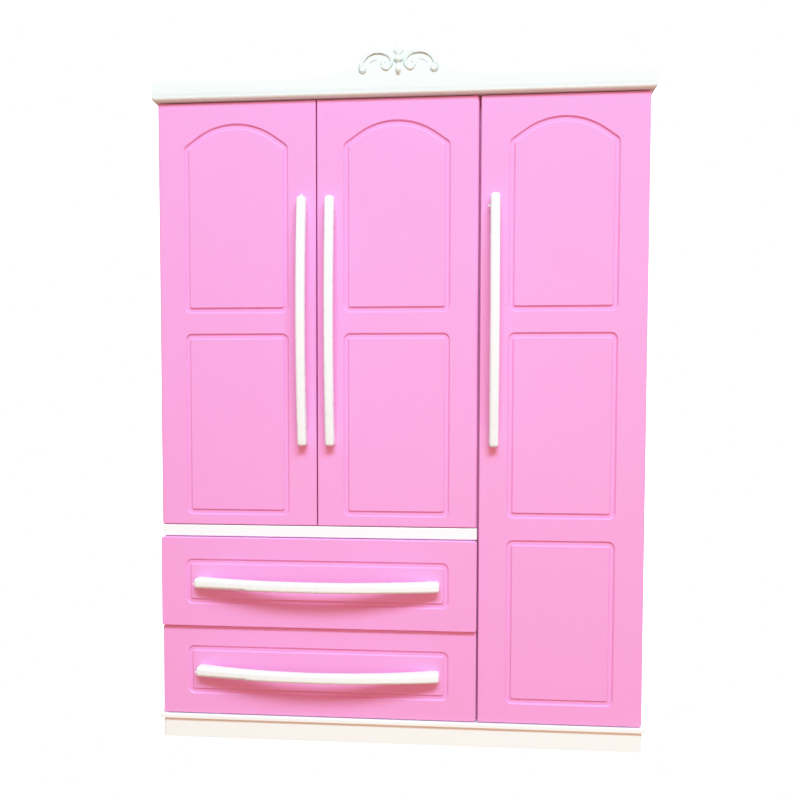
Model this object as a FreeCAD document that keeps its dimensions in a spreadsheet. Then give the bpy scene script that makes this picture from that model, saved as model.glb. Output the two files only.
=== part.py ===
import FreeCAD, Part
import math
import os

import Sketcher

# Miniature three-door wardrobe for a fashion doll's house, moulded in two
# colours of hard plastic: a carcass of slotted panels, three hinged doors,
# two drawers, six bow handles and a cornice with a scrolled crest.
#
# Frame: +Z up, +Y towards the back, +X to the right as seen from the front.
# The origin is the bottom centre of the whole object's box.  Inside each body
# the depth is counted from the front plane of the doors (depth 0, growing
# towards the back) and the height from a level a little above the skirt's
# lower edge; the body's Placement puts both in the frame.

App = FreeCAD
V = App.Vector

doc = App.newDocument("miniature_wardrobe")
sheet = doc.addObject("Spreadsheet::Sheet", "Dims")


# ---------------------------------------------------------------- quantities
class Q:
    """A length that carries its value and the formula that ties it to the sheet."""

    def __init__(self, v, t):
        self.v = float(v)
        self.t = t

    def __add__(self, o):
        return Q(self.v + num(o), "(%s + %s)" % (self.t, txt(o)))

    def __radd__(self, o):
        return Q(num(o) + self.v, "(%s + %s)" % (txt(o), self.t))

    def __sub__(self, o):
        return Q(self.v - num(o), "(%s - %s)" % (self.t, txt(o)))

    def __rsub__(self, o):
        return Q(num(o) - self.v, "(%s - %s)" % (txt(o), self.t))

    def __mul__(self, o):
        return Q(self.v * num(o), "(%s * %s)" % (self.t, txt(o)))

    def __rmul__(self, o):
        return Q(num(o) * self.v, "(%s * %s)" % (txt(o), self.t))

    def __truediv__(self, o):
        return Q(self.v / num(o), "(%s / %s)" % (self.t, txt(o)))

    def __neg__(self):
        return Q(-self.v, "(0 - %s)" % self.t)


def num(x):
    return x.v if isinstance(x, Q) else float(x)


def txt(x):
    if isinstance(x, Q):
        return x.t
    return "%.6g" % x if x >= 0 else "(0 - %.6g)" % (-x)


def qsin(a):
    return Q(math.sin(math.radians(num(a))), "sin(%s)" % txt(a))


def qcos(a):
    return Q(math.cos(math.radians(num(a))), "cos(%s)" % txt(a))


def qsqrt(a):
    return Q(math.sqrt(num(a)), "sqrt(%s)" % txt(a))


line_no = [1]


def dim(alias, value, note):
    n = line_no[0]
    line_no[0] += 1
    sheet.set("A%d" % n, note)
    sheet.set("B%d" % n, "%.6g" % value)
    sheet.setAlias("B%d" % n, alias)
    return Q(value, "Dims.%s" % alias)


# ----------------------------------------------------------- driving sizes
# overall
front_depth = dim("front_depth", 35.6, "door front plane ahead of the origin")
half_width = dim("half_width", 111.4, "half width of the carcass")
case_front = dim("case_front", 4.5, "front edge of the panels")
case_back = dim("case_back", 84.0, "back edge of the panels")
floor_top = dim("floor_top", 10.0, "top of the plinth plate")
case_top = dim("case_top", 294.8, "underside of the top panel")
wall = dim("wall", 2.4, "thickness of side panels and partition")
part_x = dim("part_x", 36.6, "centre of the partition")
# plinth
plinth_plate = dim("plinth_plate", 2.0, "plinth plate thickness")
plinth_over = dim("plinth_over", 1.9, "plinth plate past the carcass")
plinth_fore = dim("plinth_fore", 1.1, "plinth plate ahead of the doors")
skirt_in = dim("skirt_in", 1.6, "skirt set back from the plate's ends")
skirt_fore = dim("skirt_fore", 0.1, "front of the skirt")
lift = dim("lift", 1.5, "skirt below the level that the heights count from")
skirt_wall = dim("skirt_wall", 1.8, "skirt wall")
rib_thick = dim("rib_thick", 1.2, "plinth rib")
rib_low = dim("rib_low", 3.0, "lower edge of the plinth ribs")
# top and cornice
top_thick = dim("top_thick", 2.8, "top panel thickness")
cap_over = dim("cap_over", 2.1, "cornice and top panel past the carcass at the ends")
cap_fore = dim("cap_fore", 2.5, "cornice and top panel ahead of the doors")
top_round = dim("top_round", 1.8, "round under the front and ends of the top panel")
cap_height = dim("cap_height", 5.9, "cornice height")
cap_wall = dim("cap_wall", 2.0, "cornice wall")
cap_skin = dim("cap_skin", 1.8, "cornice top skin")
peg_rad = dim("peg_rad", 1.5, "cornice peg radius")
peg_hole = dim("peg_hole", 1.6, "peg hole radius")
peg_long = dim("peg_long", 2.2, "peg length below the cornice")
peg_x = dim("peg_x", 95.0, "pegs from the middle")
peg_front = dim("peg_front", 12.0, "front pegs")
peg_back = dim("peg_back", 70.0, "back pegs")
# crest
crest_thick = dim("crest_thick", 2.0, "crest plate thickness")
crest_foot = dim("crest_foot", 40.0, "half width of the crest at the cornice")
ogee_mid_x = dim("ogee_mid_x", 27.6, "where the ogee changes its curve")
ogee_mid_rise = dim("ogee_mid_rise", 1.35, "ogee height there")
ogee_top_x = dim("ogee_top_x", 18.1, "where the scroll stands on the ogee")
ogee_top_rise = dim("ogee_top_rise", 4.3, "ogee height there")
ogee_low_rad = dim("ogee_low_rad", 58.0, "hollow curve of the ogee")
ogee_up_rad = dim("ogee_up_rad", 46.0, "round curve of the ogee")
scroll_x = dim("scroll_x", 9.2, "centre of the scroll arch")
scroll_rise = dim("scroll_rise", 2.6, "scroll centre above the cornice")
scroll_rad = dim("scroll_rad", 8.9, "outer radius of the scroll arch")
band_wide = dim("band_wide", 1.5, "width of the raised scroll band")
band_proud = dim("band_proud", 0.7, "height of the raised scroll band")
crown_rise = dim("crown_rise", 10.9, "top of the plate between the scrolls")
crown_half = dim("crown_half", 2.3, "half width of the finial's foot")
finial_rise = dim("finial_rise", 14.7, "tip of the finial above the cornice")
finial_rad = dim("finial_rad", 0.8, "tip radius of the finial")
curl_x = dim("curl_x", 5.4, "centre of the inner curl")
curl_rise = dim("curl_rise", 4.6, "inner curl above the cornice")
curl_rad = dim("curl_rad", 2.3, "inner curl radius")
bud_x = dim("bud_x", 15.9, "outer curl from the middle")
bud_rise = dim("bud_rise", 3.0, "outer curl above the cornice")
bud_rad = dim("bud_rad", 1.35, "outer curl radius")
knob_rise = dim("knob_rise", 7.2, "centre knob above the cornice")
knob_rad = dim("knob_rad", 1.7, "centre knob radius")
drop_rise = dim("drop_rise", 2.2, "pendant above the cornice")
drop_rad = dim("drop_rad", 1.2, "pendant radius")
# joints between panels
tab_long = dim("tab_long", 10.0, "tab length")
tab_thick = dim("tab_thick", 1.2, "tab thickness")
tab_top = dim("tab_top", 2.2, "tab height at the top")
tab_low = dim("tab_low", 1.9, "tab height at the bottom")
tab_gap = dim("tab_gap", 0.1, "clearance round a tab")
tab_in = dim("tab_in", 0.1, "tab set back from the panel's inner face")
tab_a = dim("tab_a", 16.0, "first tab")
tab_b = dim("tab_b", 44.0, "second tab")
tab_c = dim("tab_c", 70.0, "third tab")
tab_d = dim("tab_d", 24.0, "partition's first tab")
tab_e = dim("tab_e", 60.0, "partition's second tab")
groove_front = dim("groove_front", 79.6, "front of the back panel's groove")
groove_wide = dim("groove_wide", 1.8, "width of that groove")
groove_deep = dim("groove_deep", 1.0, "depth of that groove")
back_thick = dim("back_thick", 1.6, "back panel thickness")
# ledges, rails and shelves
runner_top = dim("runner_top", 53.9, "top of the upper drawer's runner")
runner_thick = dim("runner_thick", 1.6, "runner thickness")
runner_wide = dim("runner_wide", 3.0, "runner width")
shelf_z = dim("shelf_z", 98.2, "underside of the middle shelf's plate")
shelf_thick = dim("shelf_thick", 2.0, "shelf plate thickness")
ledge_thick = dim("ledge_thick", 1.5, "shelf ledge thickness")
ledge_wide = dim("ledge_wide", 2.0, "shelf ledge width")
lip_low = dim("lip_low", 94.85, "lower edge of the middle shelf's lip")
lip_front = dim("lip_front", 0.3, "front of the lip")
lip_back = dim("lip_back", 4.3, "back of the lip")
lip_right = dim("lip_right", 36.2, "right end of the lip")
stop_tall = dim("stop_tall", 2.0, "height of the door stop ribs")
stop_front = dim("stop_front", 4.2, "front of the door stop ribs")
stop_thick = dim("stop_thick", 1.2, "thickness of the door stop ribs")
rail_z = dim("rail_z", 283.0, "hanging rail height")
rail_y = dim("rail_y", 42.0, "hanging rail depth")
rail_rad = dim("rail_rad", 2.0, "hanging rail radius")
rail_hole = dim("rail_hole", 2.06, "rail socket radius")
boss_rad = dim("boss_rad", 4.2, "rail socket boss radius")
boss_long = dim("boss_long", 3.2, "rail socket boss length")
shoe_low = dim("shoe_low", 46.0, "underside of the lower shoe shelf")
shoe_high = dim("shoe_high", 84.0, "underside of the upper shoe shelf")
shoe_thick = dim("shoe_thick", 1.8, "shoe shelf thickness")
shoe_front = dim("shoe_front", 8.0, "front of the shoe shelves")
shoe_lip = dim("shoe_lip", 4.0, "height of the shoe shelf's front lip")
# doors
door_thick = dim("door_thick", 4.0, "door thickness")
door_skin = dim("door_skin", 2.7, "door skin")
door_rim = dim("door_rim", 2.0, "door rim")
hinge_rim = dim("hinge_rim", 4.0, "rim on the hinge side")
door_left_out = dim("door_left_out", 111.4, "outer edge of the left door")
door_left_in = dim("door_left_in", 37.67, "free edge of the left door")
door_mid_in = dim("door_mid_in", 37.17, "free edge of the middle door")
door_mid_out = dim("door_mid_out", 36.13, "hinge edge of the middle door")
door_right_in = dim("door_right_in", 37.03, "free edge of the right door")
door_right_out = dim("door_right_out", 111.4, "outer edge of the right door")
door_low = dim("door_low", 100.5, "bottom of the short doors")
door_foot = dim("door_foot", 10.35, "bottom of the tall door")
door_head = dim("door_head", 294.4, "top of the doors")
edge_round = dim("edge_round", 0.5, "rounding of the door's front edge")
hinge_round = dim("hinge_round", 1.5, "rounding of the hinge edge")
pin_in = dim("pin_in", 2.0, "pin from the hinge edge and from the front")
pin_rad = dim("pin_rad", 1.2, "pin radius")
pin_hole = dim("pin_hole", 1.28, "pin hole radius")
pin_top = dim("pin_top", 2.0, "upper pin length")
pin_low = dim("pin_low", 2.5, "lower pin length of the short doors")
pin_foot = dim("pin_foot", 1.9, "lower pin length of the tall door")
pin_hole_top = dim("pin_hole_top", 2.1, "depth of the upper pin holes")
# panels pressed into the doors
panel_half = dim("panel_half", 24.4, "half width of a door panel")
line_wide = dim("line_wide", 2.8, "width of the groove round a panel")
line_deep = dim("line_deep", 0.75, "depth of that groove")
line_bevel = dim("line_bevel", 0.6, "bevel on the groove's edges")
line_out = dim("line_out", 2.6, "corner radius of the groove, outside")
line_in = dim("line_in", 1.2, "corner radius of the groove, inside")
arch_low = dim("arch_low", 198.6, "bottom of the arched panel")
arch_apex = dim("arch_apex", 284.8, "apex of the arched panel")
arch_rad = dim("arch_rad", 30.9, "radius of the arch")
arch_slope = dim("arch_slope", 35.1, "slope of its shoulders in degrees")
second_low = dim("second_low", 105.05, "bottom of the second panel")
second_high = dim("second_high", 189.4, "top of the second panel")
third_low = dim("third_low", 19.25, "bottom of the third panel")
third_high = dim("third_high", 95.25, "top of the third panel")
# drawers
drawer_left = dim("drawer_left", 111.4, "left end of the drawer fronts")
drawer_right = dim("drawer_right", 36.2, "right end of the drawer fronts")
upper_low = dim("upper_low", 52.6, "bottom of the upper front")
upper_high = dim("upper_high", 94.6, "top of the upper front")
upper_gap = dim("upper_gap", 1.8, "upper drawer stands open by")
lower_low = dim("lower_low", 10.35, "bottom of the lower front")
lower_high = dim("lower_high", 52.3, "top of the lower front")
front_line_left = dim("front_line_left", 11.8, "drawer groove from the left end")
front_line_right = dim("front_line_right", 12.6, "drawer groove from the right end")
upper_line_top = dim("upper_line_top", 10.1, "upper drawer's groove from its top")
upper_line_low = dim("upper_line_low", 10.4, "upper drawer's groove from its bottom")
lower_line_top = dim("lower_line_top", 9.45, "lower drawer's groove from its top")
lower_line_low = dim("lower_line_low", 9.3, "lower drawer's groove from its bottom")
front_corner = dim("front_corner", 1.2, "corner radius of the drawer fronts")
panel_off = dim("panel_off", 0.32, "door panels left of the door's middle")
tray_left = dim("tray_left", 108.2, "left side of the trays")
tray_right = dim("tray_right", 35.0, "right side of the trays")
tray_front = dim("tray_front", 4.05, "front of the trays")
tray_back = dim("tray_back", 76.0, "back of the trays")
tray_wall = dim("tray_wall", 1.6, "tray wall")
upper_tray_low = dim("upper_tray_low", 54.0, "bottom of the upper tray")
upper_tray_high = dim("upper_tray_high", 91.0, "top of the upper tray")
lower_tray_low = dim("lower_tray_low", 10.1, "bottom of the lower tray")
lower_tray_high = dim("lower_tray_high", 47.0, "top of the lower tray")
# handles
grip_z = dim("grip_z", 194.2, "middle of the door handles")
grip_half = dim("grip_half", 56.6, "half length of a door handle")
grip_wide = dim("grip_wide", 4.3, "door handle width")
grip_end = dim("grip_end", 4.6, "handle height at its ends")
grip_mid = dim("grip_mid", 8.6, "handle height in the middle")
grip_gap = dim("grip_gap", 5.2, "finger gap in the middle")
grip_foot = dim("grip_foot", 51.0, "inner end of the handle's foot")
grip_seat = dim("grip_seat", 0.02, "foot above the door's face")
grip_round = dim("grip_round", 1.45, "rounding of the handle's outer edges")
grip_left_x = dim("grip_left_x", 43.9, "left handle from the middle")
grip_mid_x = dim("grip_mid_x", 31.1, "middle handle from the middle")
grip_right_x = dim("grip_right_x", 43.4, "right handle from the middle")
stud_at = dim("stud_at", 54.0, "handle stud from the handle's middle")
stud_rad = dim("stud_rad", 1.4, "stud radius")
stud_hole = dim("stud_hole", 1.5, "stud hole radius")
head_rad = dim("head_rad", 2.3, "staked head radius")
head_thick = dim("head_thick", 0.75, "staked head thickness")
pull_x = dim("pull_x", 37.5, "drawer handle's middle, left of the centre")
pull_half = dim("pull_half", 56.9, "half length of a drawer handle")
pull_wide = dim("pull_wide", 4.7, "drawer handle width")
pull_mid = dim("pull_mid", 11.0, "drawer handle height in the middle")
pull_gap = dim("pull_gap", 7.6, "its finger gap in the middle")
pull_foot = dim("pull_foot", 51.3, "inner end of its foot")
pull_up_z = dim("pull_up_z", 73.6, "upper handle height")
pull_low_z = dim("pull_low_z", 31.4, "lower handle height")
plinth_corner = dim("plinth_corner", 1.5, "plinth corner radius")
plinth_edge = dim("plinth_edge", 0.6, "plinth and panel edge radius")
rib_at = dim("rib_at", 36.0, "spacing of the plinth ribs")
cap_corner = dim("cap_corner", 1.0, "cornice corner radius")
cap_edge = dim("cap_edge", 0.7, "cornice top edge radius")
lip_round = dim("lip_round", 0.5, "rounding of the shelf lips")
tray_corner = dim("tray_corner", 1.2, "outer back corner of the trays")
tray_inside = dim("tray_inside", 1.6, "inside corner of the trays")
tray_floor = dim("tray_floor", 1.0, "fillet round the tray's floor")
grip_inner = dim("grip_inner", 0.6, "rounding of the handle's inner edges")
rail_bevel = dim("rail_bevel", 0.4, "bevel on the rail's ends")
stop_left = dim("stop_left", 47.0, "stop rib behind the short doors, outer end")
stop_right = dim("stop_right", 27.0, "stop rib behind the short doors, inner end")
runner_front = dim("runner_front", 6.0, "front end of the runners")
runner_back = dim("runner_back", 78.0, "back end of the runners")
ledge_front = dim("ledge_front", 8.0, "front end of the shelf ledges")
ledge_back = dim("ledge_back", 76.0, "back end of the ledges")
nib_rad = dim("nib_rad", 0.5, "gate mark left on a handle")
nib_long = dim("nib_long", 1.1, "length of the gate mark")
nib_bevel = dim("nib_bevel", 0.35, "bevel on the gate mark's tip")
nib_down = dim("nib_down", 5.6, "side gate mark below the handle's top")
nib_proud = dim("nib_proud", 2.7, "gate mark above the face")
doc.recompute()

cap_low = case_top + top_thick          # underside of the cornice
cap_top = cap_low + cap_height          # top of the cornice


# ------------------------------------------------------------------ helpers
def body(label, shift=0.0):
    """A body whose depth 0 is the door front plane, moved forwards by shift."""
    b = doc.addObject("PartDesign::Body", label)
    b.Label = label
    y = -(front_depth + shift)
    b.Placement = App.Placement(V(0, num(y), num(lift)), App.Rotation())
    b.setExpression(".Placement.Base.y", y.t)
    b.setExpression(".Placement.Base.z", lift.t)
    return b


def sketch(b, plane, level):
    sk = b.newObject("Sketcher::SketchObject", b.Label + "_outline")
    role = plane + "_Plane"
    sup = [f for f in b.Origin.OriginFeatures if f.Role == role][0]
    sk.AttachmentSupport = [(sup, "")]
    sk.MapMode = "FlatFace"
    off = -level if plane == "XZ" else level
    sk.AttachmentOffset = App.Placement(V(0, 0, num(off)), App.Rotation())
    if isinstance(off, Q):
        sk.setExpression(".AttachmentOffset.Base.z", off.t)
    return sk


def bind(sk, con, value):
    i = sk.addConstraint(con)
    if isinstance(value, Q):
        name = "size_%d" % i
        sk.renameConstraint(i, name)
        sk.setExpression("Constraints." + name, value.t)


def outline(sk, pts):
    """Closed outline.  A point is (x, y), or (x, y, radius, side) where an arc
    runs on to the next point with its centre to the left (1) or right (-1)."""
    n = len(pts)
    first = sk.GeometryCount
    geos, ends = [], []
    for i, p in enumerate(pts):
        q = pts[(i + 1) % n]
        a = V(num(p[0]), num(p[1]), 0)
        c = V(num(q[0]), num(q[1]), 0)
        if len(p) == 2:
            geos.append(Part.LineSegment(a, c))
            ends.append((1, 2))
            continue
        r, side = num(p[2]), p[3]
        ch = c - a
        left = V(-ch.y, ch.x, 0) * (1.0 / ch.Length)
        half = ch.Length / 2
        cen = (a + c) * 0.5 + left * (side * math.sqrt(max(r * r - half * half, 0)))
        a0 = math.atan2(a.y - cen.y, a.x - cen.x)
        a1 = math.atan2(c.y - cen.y, c.x - cen.x)
        s, e = (a0, a1) if side > 0 else (a1, a0)
        if e < s:
            e += 2 * math.pi
        geos.append(Part.ArcOfCircle(Part.Circle(cen, V(0, 0, 1), r), s, e))
        ends.append((1, 2) if side > 0 else (2, 1))
    sk.addGeometry(geos, False)
    sk.addConstraint([Sketcher.Constraint("Coincident", first + i, ends[i][1],
                                          first + (i + 1) % n, ends[(i + 1) % n][0])
                      for i in range(n)])
    for i, p in enumerate(pts):
        s = ends[i][0]
        bind(sk, Sketcher.Constraint("DistanceX", -1, 1, first + i, s, num(p[0])), p[0])
        bind(sk, Sketcher.Constraint("DistanceY", -1, 1, first + i, s, num(p[1])), p[1])
        if len(p) > 2:
            bind(sk, Sketcher.Constraint("Radius", first + i, num(p[2])), p[2])


def rect(sk, x0, x1, y0, y1):
    outline(sk, [(x0, y0), (x1, y0), (x1, y1), (x0, y1)])


def circle(sk, x, y, r):
    g = sk.addGeometry(Part.Circle(V(num(x), num(y), 0), V(0, 0, 1), num(r)), False)
    bind(sk, Sketcher.Constraint("DistanceX", -1, 1, g, 3, num(x)), x)
    bind(sk, Sketcher.Constraint("DistanceY", -1, 1, g, 3, num(y)), y)
    bind(sk, Sketcher.Constraint("Radius", g, num(r)), r)


def volume(b):
    return b.Tip.Shape.Volume if b.Tip is not None else 0.0


def feature(b, kind, sk, lo, hi, sign):
    before = volume(b)
    f = b.newObject("PartDesign::" + kind, b.Label + "_" + kind.lower())
    f.Profile = sk
    length = hi - lo
    f.Length = num(length)
    if isinstance(length, Q):
        f.setExpression("Length", length.t)
    sk.recompute()
    f.recompute()
    if sign * (volume(b) - before) <= 1e-6:
        raise RuntimeError("%s: %s changed nothing" % (b.Label, f.Name))
    return f


def add(b, plane, lo, hi, draw):
    """Material from lo to hi along the plane's axis."""
    sk = sketch(b, plane, hi if plane == "XZ" else lo)
    draw(sk)
    return feature(b, "Pad", sk, lo, hi, 1)


def nib(b, plane, lo, hi, x, y, tip):
    """Gate mark from lo to hi, bevelled to a point; tip picks its end edge."""
    add(b, plane, lo, hi, lambda k: circle(k, x, y, nib_rad))
    chamfer(b, nib_bevel, tip)


def cut(b, plane, lo, hi, draw):
    """Material removed from lo to hi along the plane's axis."""
    sk = sketch(b, plane, lo if plane == "XZ" else hi)
    draw(sk)
    return feature(b, "Pocket", sk, lo, hi, -1)


def mirrored(s, lo, hi):
    return (lo, hi) if s > 0 else (-hi, -lo)


def on(e, x=None, y=None, z=None, tol=0.03):
    bb = e.BoundBox
    for lo, hi, v in ((bb.XMin, bb.XMax, x), (bb.YMin, bb.YMax, y), (bb.ZMin, bb.ZMax, z)):
        if v is None:
            continue
        if isinstance(v, tuple):
            if lo < num(v[0]) - tol or hi > num(v[1]) + tol:
                return False
        elif abs(lo - num(v)) > tol or abs(hi - num(v)) > tol:
            return False
    return True


def pick(b, *tests):
    names = []
    for i, e in enumerate(b.Tip.Shape.Edges):
        if any(t(e) for t in tests):
            names.append("Edge%d" % (i + 1))
    if not names:
        raise RuntimeError("%s: no edge found" % b.Label)
    return names


def fillet(b, r, *tests):
    base = b.Tip
    names = pick(b, *tests)
    f = b.newObject("PartDesign::Fillet", b.Label + "_round")
    f.Base = (base, names)
    f.Radius = num(r)
    if isinstance(r, Q):
        f.setExpression("Radius", r.t)
    f.recompute()
    if "Invalid" in f.State or f.Shape.isNull() or not f.Shape.isValid():
        raise RuntimeError("%s: rounding failed on %s" % (b.Label, names))
    return f


def chamfer(b, size, *tests):
    base = b.Tip
    names = pick(b, *tests)
    f = b.newObject("PartDesign::Chamfer", b.Label + "_bevel")
    f.Base = (base, names)
    f.Size = num(size)
    if isinstance(size, Q):
        f.setExpression("Size", size.t)
    f.recompute()
    if "Invalid" in f.State or f.Shape.isNull() or not f.Shape.isValid():
        raise RuntimeError("%s: bevel failed on %s" % (b.Label, names))
    return f


def along(e, axis):
    d = V(e.BoundBox.XLength, e.BoundBox.YLength, e.BoundBox.ZLength)
    rest = [d.x, d.y, d.z]
    main = rest.pop(axis)
    return main > 1e-3 and max(rest) < 1e-3


nodes = []


# ------------------------------------------------------------- base plinth
b = body("base_plinth")
nodes.append(b)
plate_x = half_width + plinth_over
plate_low = floor_top - plinth_plate
add(b, "XY", plate_low, floor_top,
    lambda s: rect(s, -plate_x, plate_x, -plinth_fore, case_back))
fillet(b, plinth_corner, lambda e: along(e, 2))
fillet(b, plinth_edge, lambda e: on(e, z=floor_top))
skirt_x = plate_x - skirt_in
skirt_front = skirt_fore
skirt_back = case_back - 1.0
add(b, "XY", -lift, plate_low + 0.5,
    lambda s: rect(s, -skirt_x, skirt_x, skirt_front, skirt_back))
fillet(b, plinth_corner,
       lambda e: along(e, 2) and on(e, z=(-lift - 1.0, plate_low)) and e.BoundBox.ZMin < 0.1)
cut(b, "XY", -lift, plate_low,
    lambda s: rect(s, -(skirt_x - skirt_wall), skirt_x - skirt_wall,
                   skirt_front + skirt_wall, skirt_back - skirt_wall))
def plinth_ribs(s):
    for k in (-1, 1):
        c = rib_at * k
        rect(s, c - rib_thick / 2, c + rib_thick / 2, skirt_front + 1.0, skirt_back - 1.0)


add(b, "XY", rib_low, plate_low + 0.5, plinth_ribs)


def tab_slots(s):
    """Slots for the tabs of both side panels and the partition."""
    t1 = half_width - wall + tab_in + tab_thick + tab_gap
    t0 = half_width - wall + tab_in - tab_gap
    for sgn in (-1, 1):
        x0, x1 = mirrored(sgn, t0, t1)
        for c in (tab_a, tab_b, tab_c):
            rect(s, x0, x1, c - tab_long / 2 - tab_gap, c + tab_long / 2 + tab_gap)
    for c in (tab_d, tab_e):
        rect(s, part_x - tab_thick / 2 - tab_gap, part_x + tab_thick / 2 + tab_gap,
             c - tab_long / 2 - tab_gap, c + tab_long / 2 + tab_gap)


hinge_right = door_right_out - pin_in
hinge_left = door_left_out - pin_in
hinge_mid = door_mid_out - pin_in
cut(b, "XY", plate_low, floor_top, tab_slots)
cut(b, "XY", plate_low, floor_top, lambda s: circle(s, hinge_right, pin_in, pin_hole))

# --------------------------------------------------------------- top panel
b = body("top_panel")
nodes.append(b)
top_x = half_width + cap_over
add(b, "XY", case_top, cap_low, lambda s: rect(s, -top_x, top_x, -cap_fore, case_back))
fillet(b, cap_corner, lambda e: along(e, 2) and on(e, y=-cap_fore))
# the underside rolls in to the doors on the front and both ends
fillet(b, top_round,
       lambda e: on(e, z=case_top) and e.BoundBox.YMin < num(case_back) - 1.0)


def top_stops(s):
    rect(s, -stop_left, -stop_right, stop_front, stop_front + stop_thick)
    rect(s, part_x + 4.0, part_x + 14.0, stop_front, stop_front + stop_thick)


add(b, "XY", case_top - stop_tall, case_top + 0.3, top_stops)
cut(b, "XY", case_top, cap_low, tab_slots)


def top_pins(s):
    circle(s, -hinge_left, pin_in, pin_hole)
    circle(s, hinge_mid, pin_in, pin_hole)
    circle(s, hinge_right, pin_in, pin_hole)


def pegs(s, r):
    for sx in (-1, 1):
        for d in (peg_front, peg_back):
            circle(s, sx * peg_x, d, r)


cut(b, "XY", case_top, case_top + pin_hole_top, top_pins)
cut(b, "XY", case_top, cap_low, lambda s: pegs(s, peg_hole))

# ------------------------------------------------------------- cornice cap
b = body("cornice_cap")
nodes.append(b)
cap_x = half_width + cap_over
add(b, "XY", cap_low, cap_top, lambda s: rect(s, -cap_x, cap_x, -cap_fore, case_back))
fillet(b, cap_corner, lambda e: along(e, 2) and on(e, y=-cap_fore))
fillet(b, cap_edge, lambda e: on(e, z=cap_top))
cut(b, "XY", cap_low, cap_top - cap_skin,
    lambda s: rect(s, -(cap_x - cap_wall), cap_x - cap_wall, cap_wall - cap_fore, case_back - cap_wall))
add(b, "XY", cap_low - peg_long, cap_top - 1.0, lambda s: pegs(s, peg_rad))

base_z = cap_top


def crest_plate(s):
    """Silhouette of the crest: two ogees, two scroll arches and a finial."""
    low = base_z - 2.5
    sx, sz = scroll_x, base_z + scroll_rise
    arch_foot = ogee_top_x - 0.35
    az = sz + qsqrt(scroll_rad * scroll_rad - (arch_foot - sx) * (arch_foot - sx))
    top_z = base_z + crown_rise
    tx = sx + 0.0 * sx - 3.0
    tz = sz + qsqrt(scroll_rad * scroll_rad - (tx - sx) * (tx - sx))
    tip = base_z + finial_rise
    outline(s, [
        (-crest_foot, low), (crest_foot, low),
        (crest_foot, base_z + 0.05, ogee_low_rad, -1),
        (ogee_mid_x, base_z + ogee_mid_rise, ogee_up_rad, 1),
        (ogee_top_x, base_z + ogee_top_rise),
        (arch_foot, az, scroll_rad, 1),
        (tx, tz),
        (crown_half, top_z),
        (finial_rad + 0.9, tip - 2.9),
        (finial_rad, tip - finial_rad * 0.75, finial_rad * 1.06, 1),
        (-finial_rad, tip - finial_rad * 0.75),
        (-(finial_rad + 0.9), tip - 2.9),
        (-crown_half, top_z),
        (-tx, tz, scroll_rad, 1),
        (-arch_foot, az),
        (-ogee_top_x, base_z + ogee_top_rise, ogee_up_rad, 1),
        (-ogee_mid_x, base_z + ogee_mid_rise, ogee_low_rad, -1),
        (-crest_foot, base_z + 0.05)])


add(b, "XZ", -cap_fore, crest_thick - cap_fore, crest_plate)


def arch_band(s, sgn):
    """Raised band that follows the scroll arch."""
    cx, cz = scroll_x, base_z + scroll_rise
    r1 = scroll_rad - 0.35
    r0 = r1 - band_wide
    a0, a1 = 12.0, 112.0
    pts = [(cx + r1 * qcos(a0), cz + r1 * qsin(a0), r1, 1),
           (cx + r1 * qcos(a1), cz + r1 * qsin(a1)),
           (cx + r0 * qcos(a1), cz + r0 * qsin(a1), r0, -1),
           (cx + r0 * qcos(a0), cz + r0 * qsin(a0))]
    if sgn < 0:
        pts = [(-pts[1][0], pts[1][1], r1, 1), (-pts[0][0], pts[0][1]),
               (-pts[3][0], pts[3][1], r0, -1), (-pts[2][0], pts[2][1])]
    outline(s, pts)


def curl_band(s, sgn):
    """Raised hook of the inner curl, open at its top."""
    cx, cz = curl_x, base_z + curl_rise
    r1 = curl_rad
    r0 = curl_rad - 1.1
    a0, a1 = 188.0, 352.0
    pts = [(cx + r1 * qcos(a0), cz + r1 * qsin(a0), r1, 1),
           (cx + r1 * qcos(a1), cz + r1 * qsin(a1)),
           (cx + r0 * qcos(a1), cz + r0 * qsin(a1), r0, -1),
           (cx + r0 * qcos(a0), cz + r0 * qsin(a0))]
    if sgn < 0:
        pts = [(-pts[1][0], pts[1][1], r1, 1), (-pts[0][0], pts[0][1]),
               (-pts[3][0], pts[3][1], r0, -1), (-pts[2][0], pts[2][1])]
    outline(s, pts)


def relief(s):
    for sgn in (-1, 1):
        arch_band(s, sgn)
        curl_band(s, sgn)
        circle(s, sgn * bud_x, base_z + bud_rise, bud_rad)
    circle(s, 0.0 * bud_x, base_z + knob_rise, knob_rad)
    circle(s, 0.0 * bud_x, base_z + drop_rise, drop_rad)


add(b, "XZ", -(cap_fore + band_proud), 0.2 - cap_fore, relief)

# -------------------------------------------------------------- side panels
panel_in = half_width - wall


def side_rect(s):
    rect(s, case_front, case_back, floor_top, case_top)


def side_tabs(s):
    for c in (tab_a, tab_b, tab_c):
        rect(s, c - tab_long / 2, c + tab_long / 2, case_top - 0.5, case_top + tab_top)
        rect(s, c - tab_long / 2, c + tab_long / 2, floor_top - tab_low, floor_top + 0.5)


def rail_boss(b, s, inner):
    lo, hi = mirrored(s, inner - boss_long, inner + 0.2)
    add(b, "YZ", lo, hi, lambda k: circle(k, rail_y, rail_z, boss_rad))
    lo, hi = mirrored(s, inner - boss_long, inner)
    cut(b, "YZ", lo, hi, lambda k: circle(k, rail_y, rail_z, rail_hole))


def ledges(b, s, inner, wide, spans):
    """Ledges on the face at inner, standing inwards; s is that face's side."""
    lo, hi = mirrored(s, inner - wide, inner + 0.2)

    def draw(k):
        for d0, d1, z0, z1 in spans:
            rect(k, d0, d1, z0, z1)
    add(b, "YZ", lo, hi, draw)


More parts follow.
